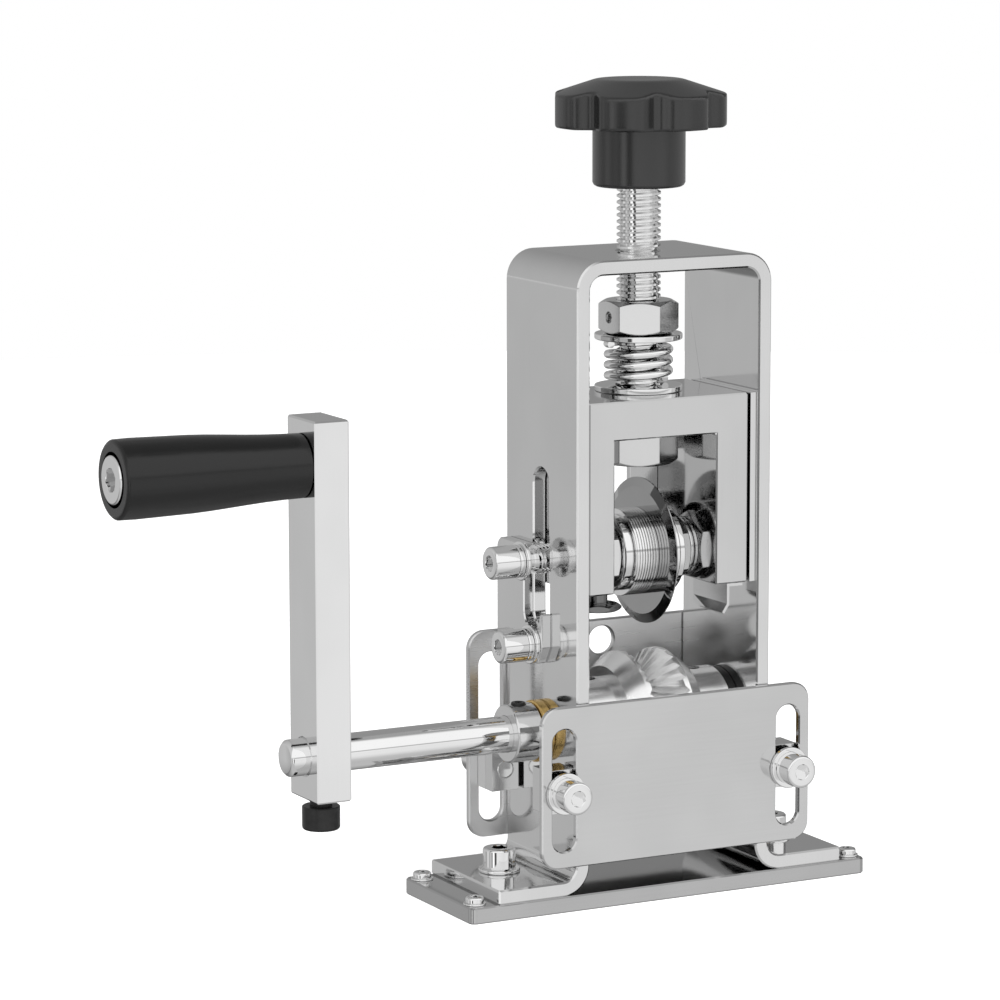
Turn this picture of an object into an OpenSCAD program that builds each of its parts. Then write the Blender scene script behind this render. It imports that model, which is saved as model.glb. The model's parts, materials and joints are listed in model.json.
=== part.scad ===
// Hand crank wire stripper: a bent steel frame on a base plate, two toothed
// feed wheels on a cranked shaft, and a round blade in a carriage that a
// knobbed screw raises and lowers over the wheels.
// X is across the frame (the crank is at -X), Y is back, Z is up. The origin
// is the middle of the base plate's underside.

/* [Base plate] */
// Length of the base plate, left to right
base_l = 124; // [116:1:150]
// Depth of the base plate, front to back
base_d = 40.5; // [40.5:0.5:50]
// Thickness of the base plate
base_t = 4.5; // [3:0.5:8]
// Radius of the base plate's corners
base_r = 2; // [0.5:0.5:3]
// Distance of the corner screws from the base plate's ends
base_screw_end = 3.3; // [3.3:0.1:3.8]
// Distance of the corner screws from the base plate's front and back
base_screw_side = 4.6; // [4:0.2:6]

/* [Frame] */
// Width of the bent frame over its side walls
frame_w = 60; // [59:0.5:64]
// Depth of the frame, front to back
frame_d = 40.5; // [39:0.5:40.5]
// Height of the frame's top above the table
frame_top = 176; // [174:1:184]
// Thickness of the frame's strip
strip_t = 4; // [3.5:0.25:4.5]
// Inner radius of the frame's bends
bend_r = 4; // [2:0.5:6]
// Distance of the feet's ends from the base plate's ends
foot_end = 8.4; // [7.8:0.2:11]
// Width of the slot in the left wall
slot_w = 9; // [8.6:0.1:10]
// Height of the slot's lower end above the table
slot_low = 74.8; // [74:0.2:78]
// Height of the slot's upper end above the table
slot_high = 118.5; // [116:0.5:124]

/* [Guide plates] */
// Distance of the plates' slots from the plates' ends
plate_end = 3.2; // [2.6:0.2:6]
// Thickness of the guide plates
plate_t = 2; // [1.5:0.25:3]
// Height of the guide plates' lower edge above the table
plate_low = 12.9; // [12.9:0.1:16]
// Height of the front plate's upper edge above the table
front_plate_high = 57; // [54:0.5:58]
// Height of the back plate's upper edge above the table
back_plate_high = 71; // [68:0.5:74]
// Radius of the guide plates' corners
plate_r = 5; // [2:0.5:7]
// Width of the guide plates' slots
plate_slot_w = 7.2; // [6:0.2:8]
// Distance of the slots' lower ends from the plates' lower edge
plate_slot_low = 4.5; // [4:0.5:6]
// Distance of the slots' upper ends from the plates' upper edge
plate_slot_high = 6; // [5:0.5:7]
// Diameter of the wire hole in the back plate
wire_hole_d = 8; // [4:0.5:9]
// Distance of the wire hole from the back plate's upper edge
wire_hole_down = 5.9; // [5.5:0.1:8]
// Height of the guide plates' screws above the table
plate_screw_z = 33.6; // [32:0.2:36]

/* [Guide blocks] */
// Width of a guide block
block_w = 8.2; // [7:0.1:9]
// Depth of a guide block
block_d = 8.5; // [8:0.5:10]
// Height of a guide block
block_h = 12; // [10:0.5:14]
// Thickness of the spacer between a block and the side wall
block_gap = 0.8; // [0.5:0.1:1.2]

/* [Feed shaft and wheels] */
// Diameter of the drive shaft
shaft_d = 10; // [9:0.5:11]
// Height of the drive shaft's axis above the table
shaft_z = 46.3; // [45:0.1:47]
// Distance of the cutting plane to the right of the middle
cut_x = 1; // [0:0.5:2]
// Diameter of the feed wheels over their teeth
wheel_d = 39; // [34:0.5:39.5]
// Width of the groove between the feed wheels at their rims
groove_w = 10.4; // [8:0.2:12]
// Depth of the groove between the feed wheels
groove_h = 8.5; // [7:0.5:10]
// Number of teeth on each feed wheel
teeth = 30; // [14:1:36]
// Depth of the teeth
tooth_h = 1.1; // [0.8:0.1:1.4]
// Diameter of the wheels' hubs
hub_d = 26; // [22:0.5:28]
// Width of the black rings beside the hubs
ring_w = 2.5; // [2:0.1:3]
// Outer diameter of the bushes' sleeves
bush_d = 14; // [13:0.5:15]
// Diameter of the bushes' flanges
bush_flange_d = 17; // [16:0.5:19]
// Thickness of the bushes' flanges
bush_flange_t = 3; // [2:0.25:3.5]
// Diameter of the collar outside the left bush
collar_d = 16; // [15:0.5:18]
// Length of the collar
collar_l = 8; // [7:0.5:9]

/* [Crank] */
// Distance of the crank arm's inner face from the middle
arm_x = 91.5; // [85:0.5:95]
// Thickness of the crank arm
arm_t = 10; // [10:0.5:12]
// Width of the crank arm
arm_w = 17; // [16:0.5:19]
// Distance between the shaft's axis and the grip's axis
crank_r = 78; // [70:1:90]
// Length of the arm past the shaft's axis
arm_low = 11.5; // [10:0.5:13]
// Length of the arm past the grip's axis
arm_high = 12.5; // [10:0.5:14]
// Length of the shaft that stands out of the arm
shaft_out = 5.5; // [4:0.5:8]
// Length of the grip
grip_l = 53; // [46:1:60]
// Diameter of the grip at its outer end
grip_d = 21.4; // [20:0.2:24]
// Diameter of the grip at the arm
grip_neck_d = 17.2; // [15:0.2:18]

/* [Screw and knob] */
// Diameter of the adjusting screw
screw_d = 12; // [10:0.5:13]
// Pitch of the adjusting screw's thread
screw_pitch = 1.75; // [1.5:0.25:2]
// Number of lobes on the knob
lobes = 7; // [5:1:8]
// Diameter of the knob over its lobes
knob_d = 47.4; // [44:0.5:52]
// Height of the knob's underside above the table
knob_low = 193.5; // [192:0.5:200]
// Diameter of the knob's hub
knob_hub_d = 25.2; // [23:0.2:27]
// Height of the knob's hub
knob_hub_h = 16; // [12:0.5:18]
// Height of the knob's rim
knob_rim_h = 9; // [7:0.5:11]
// Rise of the knob's domed top above its rim
knob_dome_h = 4; // [2:0.5:5]
// Width of the adjusting screw's nuts across their flats
nut_af = 19; // [18:0.5:20]
// Height of the lock nut
lock_nut_h = 9; // [8:0.5:9.5]
// Diameter of the washers above and below the spring
washer_d = 24; // [22:0.5:26]
// Thickness of those washers
washer_t = 1.6; // [1.4:0.1:2]

/* [Spring] */
// Outer diameter of the spring
spring_d = 19; // [18.4:0.1:20]
// Diameter of the spring's wire
wire_d = 2.1; // [1.8:0.1:2.2]
// Number of turns
turns = 3.5; // [3:0.5:4]
// Length of the spring
spring_l = 12.5; // [12:0.1:13.5]

/* [Blade carriage] */
// Height of the carriage's top above the table
car_top = 137.9; // [137:0.1:139]
// Height of the carriage's legs' lower ends above the table
car_low = 85.8; // [85:0.2:87]
// Depth of the carriage
car_d = 32; // [31.6:0.1:33]
// Distance of the carriage's front face behind the frame's front
car_back = 1; // [0.5:0.5:2]
// Width of the carriage's left leg
left_leg_w = 7.9; // [7:0.1:8.5]
// Width of the carriage's right leg
right_leg_w = 9.8; // [9:0.1:10.5]
// Thickness of the carriage's top
car_top_t = 10.6; // [10:0.1:12]
// Width of the gib strip beside the right leg
gib_t = 1.9; // [1.5:0.1:2.5]
// Height of the blade's axis above the table
blade_z = 93.6; // [93:0.1:94.5]
// Diameter of the blade
blade_d = 40.2; // [36:0.2:40.4]
// Thickness of the blade
blade_t = 2; // [1.5:0.1:2.5]
// Diameter of the blade's axle
axle_d = 8; // [7:0.5:8]
// Diameter of the spacer rings beside the blade
shim_d = 24; // [20:0.5:24.4]
// Thickness of a spacer ring on the left
shim_t = 0.8; // [0.7:0.05:0.85]
// Thickness of a spacer ring on the right
wide_shim_t = 1.5; // [1.2:0.1:1.6]

/* [Hidden] */
$fn = 48;
// Radial clearance of a shaft or screw that turns in its bore
run_fit = 0.05;
// Radial clearance of a screw in a plain hole
hole_fit = 0.25;
// Radial clearance of a fixed part in its bore
seat_fit = 0.02;
// Gap between flat faces that slide on each other
slide_gap = 0.1;
// Gap between the rings of a stack
stack_gap = 0.04;
// Overrun of a cut past the face that it leaves
over = 1;
// Corner angle of a hexagon, half of it
half_hex = 30;
// Share of a nut's width that its chamfer leaves flat
flat_share = 0.475;
// Length of small chamfers on turned parts
edge = 0.4;

frame_x = frame_w / 2;
wall_x = frame_x - strip_t;
front_y = -frame_d / 2;
back_y = frame_d / 2;
foot_top = base_t + strip_t;
shaft_r = shaft_d / 2;
plate_x = frame_x + block_gap + block_w / 2;
plate_w = 2 * (plate_x + plate_slot_w / 2 + plate_end);
// The feet reach towards the base plate's ends; their screws stand in the flat stretch
foot_l = base_l / 2 - frame_x - foot_end;
foot_screw_share = 0.46;
foot_screw_out = bend_r + (foot_l - bend_r) * foot_screw_share;

// Cap screws of the guide plates, the slot and the feet
cap_d = 5;
cap_head_d = 9;
cap_head_h = 6.3;
cap_key = 4;
cap_washer_d = 11.4;
cap_washer_t = 1.4;
foot_head_h = 5.6;
foot_washer_t = 1;
// Corner screws of the base plate
pan_d = 3;
pan_head_d = 5;
pan_head_h = 1.7;
pan_washer_d = 6.2;
pan_washer_t = 0.5;
// Countersunk screws from inside the side walls
csk_d = 2.5;
csk_head_d = 5;
csk_h = 1.25;
csk_key = 1.5;
csk_key_h = 0.8;
csk_up = 4.1;
csk_in = 6;
gib_screw_end = 10;
spacer_d = 5;
spacer_h = 11.4;
// Side plate beside the slot and its cap screw
slot_plate_t = 3;
slot_plate_high = 97.3;
slot_plate_low = 65.4;
slot_plate_front = 5.8;
slot_plate_cut_y = 2.9;
slot_plate_cut_z = 4.8;
slot_plate_r = 3;
slot_screw_z = 70.4;
slot_head_h = 7.4;
lock_washer_d = 9;
lock_washer_t = 1.6;
slot_washer_d = 10.8;
slot_washer_t = 1.2;
// Set screws of the collar, the wheels and the lock nut
set_d = 4;
set_key = 2;
set_sink = 0.5;
nut_set_d = 3;
// Feed wheels
wheel_gap = 0.3;
rim_w = 1.5;
back_face_d = 31.6;
back_face_x = 11.5;
tooth_skew = 32;
wheel_set_share = 0.45;
// Right end of the drive shaft and its retaining ring
end_ring_t = 1.2;
end_ring_d = 15;
end_ring_groove = 0.6;
shaft_right = 2.2;
shaft_chamfer = 1;
// Crank arm's clamp screw and the grip's bolt
clamp_d = 6;
clamp_head_d = 10.2;
clamp_head_h = 6.4;
clamp_neck = 2.2;
clamp_key = 5;
grip_gap = 0.3;
grip_bolt_d = 8;
grip_bolt_head_d = 13;
grip_bolt_head_h = 7;
grip_bolt_key = 6;
grip_recess_d = 14.6;
grip_recess_out = 0.6;
grip_full_share = 0.38;
grip_fall_share = 0.2;
grip_power = 1.5;
grip_round = 1.5;
// Knob, adjusting screw and its nuts
lobe_depth = 3.6;
lobe_turn = 228.5;
lobe_points = 14;
valley_power = 3;
knob_flat_d = 23;
knob_edge = 1.2;
knob_sink = 14;
nut_turn = 2.3;
thread_depth = 0.95;
crest_share = 0.18;
lock_nut_z = 153.7;
keeper_low = 117.9;
screw_low = 117.5;
// Carriage
leg_gap = 0.2;
gib_gap = 0.8;
axle_out = 3.2;
axle_nut_af = 17;
right_nut_t = 4;
axle_washer_d = 16;
axle_ring_d = 21;
axle_ring_t = 2.8;
left_nut_least = 6.5;
right_washer_least = 0.6;
blade_bevel = 2.6;
blade_land = 0.3;
end_screw_d = 5.6;
end_screw_gap = 2.4;
end_screw_in = 6;
bracket_t = 0.9;
bracket_side = 1.3;
bracket_wall = 5;
bracket_back = 1;
bracket_drop = 5.6;
bracket_lip_out = 1.5;
bracket_lip_drop = 2.2;
bracket_screw_d = 2;
bracket_head_d = 3.6;
bracket_screw_end = 5;
bracket_screw_in = 6;
rear_plate_t = 2;
rear_plate_gap = 2.6;
rear_screw_in = 8;
rear_screw_d = 3;
rear_head_d = 5.5;
rear_head_h = 2;
rear_key = 2;
rear_screw_end = 12;
leg_bolt_side = 5.8;
leg_bolt_front = 5.45;
leg_bolt_d = 5;
leg_bolt_af = 11;
leg_bolt_h = 1.9;
leg_bolt_drop = 3;
leg_bolt_in = 12;

leg_left = -wall_x + leg_gap;
gib_x = wall_x - gib_t;
leg_right = gib_x - gib_gap;
window_left = leg_left + left_leg_w;
window_right = leg_right - right_leg_w;
car_front = front_y + car_back;
car_rear = car_front + car_d;
bracket_x = leg_right - bracket_side - bracket_wall;
rear_plate_x = cut_x + blade_t / 2 + rear_plate_gap;
leg_bolt_x = leg_left + leg_bolt_side;
leg_bolt_y = car_front + leg_bolt_front;
window_top = car_top - car_top_t;
spring_low = car_top + washer_t;
spring_high = spring_low + spring_l;
screw_r = screw_d / 2;
axle_r = axle_d / 2;
arm_out = -arm_x - arm_t;
arm_bottom = shaft_z - arm_low;
grip_z = shaft_z + crank_r;
grip_in = arm_out - grip_gap;
grip_out = grip_in - grip_l;
wheel_r = wheel_d / 2;
hub_right = wall_x - ring_w;
wheel_set_x = back_face_x + (hub_right - cut_x - back_face_x) * wheel_set_share;

// The spring's wire is one tube that winds up a helix
spring_mid_r = (spring_d - wire_d) / 2;
spring_rise = spring_l - wire_d;
ring_steps = 8;
wire_sides = 6;
rings = round(turns * ring_steps);
function spring_at(i) = let (a = i * 360 / ring_steps)
    [spring_mid_r * cos(a), spring_mid_r * sin(a),
     spring_low + wire_d / 2 + spring_rise * i / rings];
function ring_points(i) = let (a = i * 360 / ring_steps, c = spring_at(i))
    [for (k = [0 : wire_sides - 1]) let (b = k * 360 / wire_sides)
        [c[0] + wire_d / 2 * cos(b) * cos(a),
         c[1] + wire_d / 2 * cos(b) * sin(a),
         c[2] + wire_d / 2 * sin(b)]];
spring_points = [for (i = [0 : rings]) each ring_points(i)];
function spring_index(i, k) = i * wire_sides + k % wire_sides;
spring_faces = concat(
    [for (i = [0 : rings - 1]) for (k = [0 : wire_sides - 1])
        [spring_index(i, k), spring_index(i, k + 1), spring_index(i + 1, k + 1)]],
    [for (i = [0 : rings - 1]) for (k = [0 : wire_sides - 1])
        [spring_index(i, k), spring_index(i + 1, k + 1), spring_index(i + 1, k)]],
    [for (k = [1 : wire_sides - 2]) [0, spring_index(0, k + 1), k]],
    [for (k = [1 : wire_sides - 2]) [spring_index(rings, 0), spring_index(rings, k),
        spring_index(rings, k + 1)]]);
// Least gap between one turn of the spring and the next
spring_gap = min([for (i = [0 : rings - ring_steps])
    for (p = ring_points(i)) for (q = ring_points(i + ring_steps)) norm(q - p)]);
echo(spring_gap = spring_gap);

// Plain turned and cut shapes

module along_x(x) translate([x, 0, 0]) rotate([0, 90, 0]) children();

module along_y(y) translate([0, y, 0]) rotate([-90, 0, 0]) children();

module rod(r, h, c = 0) {
    if (c > 0)
        rotate_extrude() polygon([[0, 0], [r - c, 0], [r, c], [r, h - c], [r - c, h], [0, h]]);
    else
        cylinder(r = r, h = h);
}

module ring(r_in, r_out, h, c = 0) {
    rotate_extrude()
        polygon(c > 0
            ? [[r_in, 0], [r_out - c, 0], [r_out, c], [r_out, h - c], [r_out - c, h], [r_in, h]]
            : [[r_in, 0], [r_out, 0], [r_out, h], [r_in, h]]);
}

module hexagon(af, h) cylinder(r = af / 2 / cos(half_hex), h = h, $fn = 6);

module chamfered_hexagon(af, h) {
    corner = af / 2 / cos(half_hex);
    flat = af * flat_share;
    drop = (corner - flat) * tan(half_hex);
    intersection() {
        hexagon(af, h);
        rotate_extrude()
            polygon([[0, 0], [flat, 0], [corner, drop], [corner, h - drop], [flat, h], [0, h]]);
    }
}

module hex_nut(af, h, bore) {
    difference() {
        chamfered_hexagon(af, h);
        translate([0, 0, -over]) cylinder(d = bore, h = h + 2 * over);
    }
}

// A socket screw: the head stands on z = 0, the shank reaches down
module cap_screw(d, reach, head_d, head_h, key) {
    difference() {
        union() {
            rod(head_d / 2, head_h, edge);
            translate([0, 0, -reach]) rod(d / 2, reach + edge, edge / 2);
        }
        translate([0, 0, head_h / 2]) hexagon(key, head_h);
    }
}

// A plate with round corners, standing in X and Z, its lower edge at z = 0
module round_plate(w, h, r) {
    translate([-w / 2, r]) square([w, h - 2 * r]);
    translate([-w / 2 + r, 0]) square([w - 2 * r, h]);
    for (x = [-w / 2 + r, w / 2 - r])
        for (z = [r, h - r])
            translate([x, z]) circle(r = r);
}

module slot_shape(w, low, high) {
    translate([-w / 2, low + w / 2]) square([w, high - low - w]);
    for (z = [low + w / 2, high - w / 2]) translate([0, z]) circle(d = w);
}

// Base plate

module base_screw_places() {
    for (x = [-1, 1]) for (y = [-1, 1])
        translate([x * (base_l / 2 - base_screw_end), y * (base_d / 2 - base_screw_side), 0])
            children();
}

module foot_screw_places() {
    for (x = [-1, 1]) translate([x * (frame_x + foot_screw_out), 0, 0]) children();
}

module base_plate() {
    color([0.78, 0.78, 0.79])
    difference() {
        linear_extrude(base_t)
            translate([0, -base_d / 2]) round_plate(base_l, base_d, base_r);
        base_screw_places()
            translate([0, 0, -over]) cylinder(d = pan_d + seat_fit * 2, h = base_t + 2 * over);
        foot_screw_places()
            translate([0, 0, -over]) cylinder(d = cap_d + seat_fit * 2, h = base_t + 2 * over);
    }
}

module base_screws() {
    color([0.8, 0.8, 0.81])
    base_screw_places()
        translate([0, 0, base_t + pan_washer_t])
            cap_screw(pan_d, base_t + pan_washer_t - edge, pan_head_d, pan_head_h, pan_d / 2);
}

module base_washers() {
    color([0.8, 0.8, 0.81])
    base_screw_places()
        translate([0, 0, base_t]) ring(pan_d / 2 + hole_fit, pan_washer_d / 2, pan_washer_t);
}

// Frame: one strip bent into an arch with two feet

module arch(w, h, r) {
    translate([-w / 2, 0]) square([w, h - r]);
    translate([-w / 2 + r, 0]) square([w - 2 * r, h]);
    for (x = [-w / 2 + r, w / 2 - r]) translate([x, h - r]) circle(r = r);
}

module foot_shape() {
    translate([frame_x + bend_r, 0]) square([foot_l - bend_r, strip_t]);
    translate([frame_x + bend_r, strip_t + bend_r]) intersection() {
        difference() {
            circle(r = strip_t + bend_r);
            circle(r = bend_r);
        }
        translate([-strip_t - bend_r, -strip_t - bend_r]) square(strip_t + bend_r);
    }
}

module frame_shape() {
    h = frame_top - base_t;
    difference() {
        arch(frame_w, h, bend_r + strip_t);
        arch(frame_w - 2 * strip_t, h - strip_t, bend_r);
        translate([-frame_x - over, -over])
            square([frame_w + 2 * over, strip_t + bend_r + over]);
    }
    foot_shape();
    mirror([1, 0]) foot_shape();
}

module block_places() {
    for (x = [0, 1]) for (y = [-1, 1])
        mirror([x, 0, 0]) translate([-plate_x, y * (back_y - block_d / 2), plate_screw_z])
            children();
}

// Two screws hold each block, above and below its plate screw
module block_screw_places() {
    block_places() for (z = [-csk_up, csk_up]) translate([0, 0, z]) children();
}

module gib_screw_places() {
    for (z = [car_low + gib_screw_end, car_top - gib_screw_end])
        translate([0, (car_front + car_rear) / 2, z]) children();
}

module main_frame() {
    color([0.74, 0.74, 0.75])
    difference() {
        translate([0, back_y, base_t]) rotate([90, 0, 0]) linear_extrude(frame_d) frame_shape();
        translate([0, 0, frame_top - strip_t - over])
            cylinder(r = screw_r + run_fit, h = strip_t + 2 * over);
        translate([0, 0, shaft_z]) along_x(-frame_x - over)
            cylinder(d = bush_d + 2 * seat_fit, h = frame_w + 2 * over);
        translate([-frame_x - over, 0, 0]) rotate([90, 0, 90])
            linear_extrude(strip_t + 2 * over) slot_shape(slot_w, slot_low, slot_high);
        translate([0, 0, slot_screw_z]) along_x(-frame_x - over)
            cylinder(d = cap_d + 2 * seat_fit, h = strip_t + 2 * over);
        foot_screw_places()
            translate([0, 0, base_t - over]) cylinder(d = cap_d + 2 * hole_fit, h = strip_t + 2 * over);
        block_screw_places() translate([plate_x - frame_x, 0, 0]) csk_cut();
        gib_screw_places() translate([wall_x, 0, 0]) csk_cut();
    }
}

// A countersunk screw's hole through a wall that starts at x = 0
module csk_cut() {
    along_x(-over) cylinder(d = csk_d + 2 * seat_fit, h = strip_t + over);
    along_x(strip_t - csk_h)
        cylinder(d1 = csk_d + 2 * seat_fit, d2 = csk_head_d + 2 * seat_fit, h = csk_h);
    along_x(strip_t - seat_fit) cylinder(d = csk_head_d + 2 * seat_fit, h = over);
}

module foot_screws() {
    color([0.8, 0.8, 0.81])
    foot_screw_places()
        translate([0, 0, foot_top + foot_washer_t])
            cap_screw(cap_d, foot_top + foot_washer_t - edge, cap_head_d, foot_head_h, cap_key);
}

module foot_washers() {
    color([0.8, 0.8, 0.81])
    foot_screw_places()
        translate([0, 0, foot_top]) ring(cap_d / 2 + hole_fit, cap_washer_d / 2, foot_washer_t, edge / 2);
}

// Bushes of the drive shaft, pressed into the side walls from outside

module bush() {
    translate([0, 0, shaft_z]) along_x(wall_x) {
        ring(shaft_r + run_fit, bush_d / 2, strip_t + over);
        translate([0, 0, strip_t]) ring(shaft_r + run_fit, bush_flange_d / 2, bush_flange_t, edge);
    }
}

module left_bush() color([0.72, 0.55, 0.25]) mirror([1, 0, 0]) bush();

module right_bush() color([0.72, 0.55, 0.25]) bush();

// Guide blocks, each screwed to a side wall and tapped for a plate screw

module guide_block() {
    color([0.7, 0.7, 0.71])
    difference() {
        cube([block_w, block_d, block_h], center = true);
        along_y(-block_d / 2 - over)
            cylinder(d = cap_d + 2 * seat_fit, h = block_d + 2 * over);
        for (z = [-csk_up, csk_up]) translate([0, 0, z])
            along_x(block_w / 2 - csk_in - edge)
                cylinder(d = csk_d + 2 * seat_fit, h = csk_in + edge + over);
    }
}

module block_at(x, y) {
    mirror([x, 0, 0]) translate([-plate_x, y * (back_y - block_d / 2), plate_screw_z])
        guide_block();
}

module front_left_block() block_at(0, -1);

module front_right_block() block_at(1, -1);

module back_left_block() block_at(0, 1);

module back_right_block() block_at(1, 1);

module block_spacers() {
    color([0.2, 0.2, 0.2])
    block_places() translate([block_w / 2, 0, 0])
        difference() {
            translate([0, -spacer_d / 2, -spacer_h / 2]) cube([block_gap, spacer_d, spacer_h]);
            for (z = [-csk_up, csk_up]) translate([0, 0, z])
                along_x(-over) cylinder(d = csk_d + 2 * seat_fit, h = block_gap + 2 * over);
        }
}

// A countersunk screw along +X whose head ends at x = 0
module csk_screw(reach) {
    difference() {
        union() {
            along_x(-csk_h) cylinder(d1 = csk_d, d2 = csk_head_d, h = csk_h);
            along_x(-reach) rod(csk_d / 2, reach - csk_h / 2, edge / 2);
        }
        along_x(-csk_key_h) hexagon(csk_key, csk_key_h + over);
    }
}

module block_screws() {
    color([0.78, 0.78, 0.79])
    block_screw_places() translate([block_w / 2 + block_gap + strip_t, 0, 0])
        csk_screw(strip_t + block_gap + csk_in);
}

// Guide plates: both slide up and down on two cap screws each

module guide_plate(low, high, hole) {
    rotate([90, 0, 0]) linear_extrude(plate_t)
    difference() {
        translate([0, low]) round_plate(plate_w, high - low, plate_r);
        for (x = [-plate_x, plate_x]) translate([x, 0])
            slot_shape(plate_slot_w, low + plate_slot_low, high - plate_slot_high);
        if (hole > 0) translate([0, high - wire_hole_down]) circle(d = hole);
    }
}

module front_guide_plate() {
    color([0.76, 0.76, 0.77])
    translate([0, front_y - slide_gap, 0]) guide_plate(plate_low, front_plate_high, 0);
}

module back_guide_plate() {
    color([0.76, 0.76, 0.77])
    translate([0, back_y + slide_gap + plate_t, 0])
        guide_plate(plate_low, back_plate_high, wire_hole_d);
}

// Children stand at a plate screw, with +Z out of the front plate's face
module plate_screw_places() {
    for (x = [-plate_x, plate_x])
        translate([x, front_y - plate_t - 2 * slide_gap, plate_screw_z]) rotate([90, 0, 0])
            children();
}

module plate_screws() {
    color([0.8, 0.8, 0.81])
    plate_screw_places() translate([0, 0, cap_washer_t])
        cap_screw(cap_d, cap_washer_t + plate_t + 2 * slide_gap + block_d, cap_head_d,
            cap_head_h, cap_key);
}

module plate_washers() {
    color([0.8, 0.8, 0.81])
    plate_screw_places() ring(cap_d / 2 + seat_fit, cap_washer_d / 2, cap_washer_t, edge / 2);
}

module front_plate_screws() plate_screws();

module front_plate_washers() plate_washers();

module back_plate_screws() mirror([0, 1, 0]) plate_screws();

module back_plate_washers() mirror([0, 1, 0]) plate_washers();

// Side plate that edges the left wall's slot, and its screw

module slot_plate_shape() {
    difference() {
        union() {
            polygon([[slot_plate_cut_y - slot_plate_front, slot_plate_low], [back_y, slot_plate_low],
                [back_y, slot_plate_high - slot_plate_r],
                [-slot_plate_front, slot_plate_high - slot_plate_r],
                [-slot_plate_front, slot_plate_low + slot_plate_cut_z]]);
            translate([-slot_plate_front, slot_plate_high - slot_plate_r])
                square([back_y + slot_plate_front - slot_plate_r, slot_plate_r]);
            translate([back_y - slot_plate_r, slot_plate_high - slot_plate_r])
                circle(r = slot_plate_r);
        }
        translate([0, slot_low + slot_w / 2]) circle(d = slot_w);
        translate([-slot_plate_front - over, slot_low + slot_w / 2])
            square([slot_plate_front + over + slot_w / 2, slot_plate_high]);
        translate([0, slot_screw_z]) circle(d = cap_d + 2 * hole_fit);
    }
}

module slot_side_plate() {
    color([0.74, 0.74, 0.75])
    translate([-frame_x - slot_plate_t, 0, 0]) rotate([90, 0, 90])
        linear_extrude(slot_plate_t) slot_plate_shape();
}

// Children stand on the side plate at its screw, with +Z to the left
module slot_screw_place() {
    translate([-frame_x - slot_plate_t, 0, slot_screw_z]) rotate([0, -90, 0]) children();
}

slot_stack = slot_washer_t + lock_washer_t + 2 * stack_gap;

module slot_plate_screw() {
    color([0.8, 0.8, 0.81])
    slot_screw_place() translate([0, 0, slot_stack])
        cap_screw(cap_d, slot_stack + slot_plate_t + strip_t, cap_head_d, slot_head_h, cap_key);
}

module washer_pair() {
    ring(cap_d / 2 + hole_fit, slot_washer_d / 2, slot_washer_t, edge / 2);
    translate([0, 0, slot_washer_t + stack_gap])
        ring(cap_d / 2 + hole_fit, lock_washer_d / 2, lock_washer_t, edge / 2);
}

module slot_plate_washers() color([0.8, 0.8, 0.81]) slot_screw_place() washer_pair();

// Gib strip on the right wall, beside the carriage

module gib_strip() {
    color([0.68, 0.68, 0.69])
    difference() {
        translate([gib_x, car_front, car_low]) cube([gib_t, car_d, car_top - car_low]);
        gib_screw_places() along_x(gib_x - over)
            cylinder(d = csk_d + 2 * seat_fit, h = gib_t + 2 * over);
    }
}

module gib_screws() {
    color([0.78, 0.78, 0.79])
    gib_screw_places() translate([frame_x, 0, 0]) csk_screw(strip_t + gib_t);
}

// Drive shaft with the two feed wheels

shaft_end_x = wall_x + strip_t + bush_flange_t + end_ring_t + slide_gap + shaft_right;
end_ring_x = wall_x + strip_t + bush_flange_t + slide_gap;

module drive_shaft() {
    color([0.82, 0.82, 0.83])
    translate([0, 0, shaft_z])
    difference() {
        along_x(arm_out - shaft_out) rod(shaft_r, shaft_end_x - arm_out + shaft_out, shaft_chamfer);
        along_x(end_ring_x) ring(shaft_r - end_ring_groove, shaft_d, end_ring_t);
    }
}

module end_ring() {
    color([0.25, 0.25, 0.26])
    translate([0, 0, shaft_z]) along_x(end_ring_x + stack_gap)
        ring(shaft_r - end_ring_groove + seat_fit, end_ring_d / 2, end_ring_t - 2 * stack_gap);
}

// One wheel, its groove face at z = 0 and its hub up to z = reach
module feed_wheel(reach) {
    root_r = wheel_r - groove_h;
    rim_z = groove_w / 2;
    cone = atan2(rim_z - wheel_gap / 2, groove_h);
    cone_l = norm([rim_z - wheel_gap / 2, groove_h]);
    difference() {
        rotate_extrude() polygon([
            [shaft_r + seat_fit, wheel_gap / 2], [root_r, wheel_gap / 2], [wheel_r, rim_z],
            [wheel_r, rim_z + rim_w], [back_face_d / 2, back_face_x], [hub_d / 2, back_face_x],
            [hub_d / 2, reach - edge], [hub_d / 2 - edge, reach], [shaft_r + seat_fit, reach]]);
        for (i = [0 : teeth - 1]) rotate([0, 0, i * 360 / teeth])
            translate([(root_r + wheel_r) / 2, 0, (rim_z + wheel_gap / 2) / 2])
                rotate([0, -cone, 0]) rotate([0, 0, tooth_skew]) rotate([45, 0, 0])
                    cube([2 * cone_l, tooth_h * sqrt(2), tooth_h * sqrt(2)], center = true);
        translate([0, 0, wheel_set_x]) rotate([0, -90, 0])
            cylinder(d = set_d + 2 * seat_fit, h = hub_d);
    }
}

module right_feed_wheel() {
    color([0.72, 0.72, 0.73])
    translate([cut_x, 0, shaft_z]) rotate([0, 90, 0]) feed_wheel(hub_right - cut_x);
}

module left_feed_wheel() {
    color([0.72, 0.72, 0.73])
    translate([cut_x, 0, shaft_z]) mirror([1, 0, 0]) rotate([0, 90, 0])
        feed_wheel(hub_right + cut_x);
}

// A set screw that stands on the shaft and ends under the hub's surface
module set_screw(d, low, high) {
    difference() {
        translate([0, 0, low]) rod(d / 2, high - low, edge / 2);
        translate([0, 0, high - set_key]) hexagon(set_key, set_key + over);
    }
}

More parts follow.
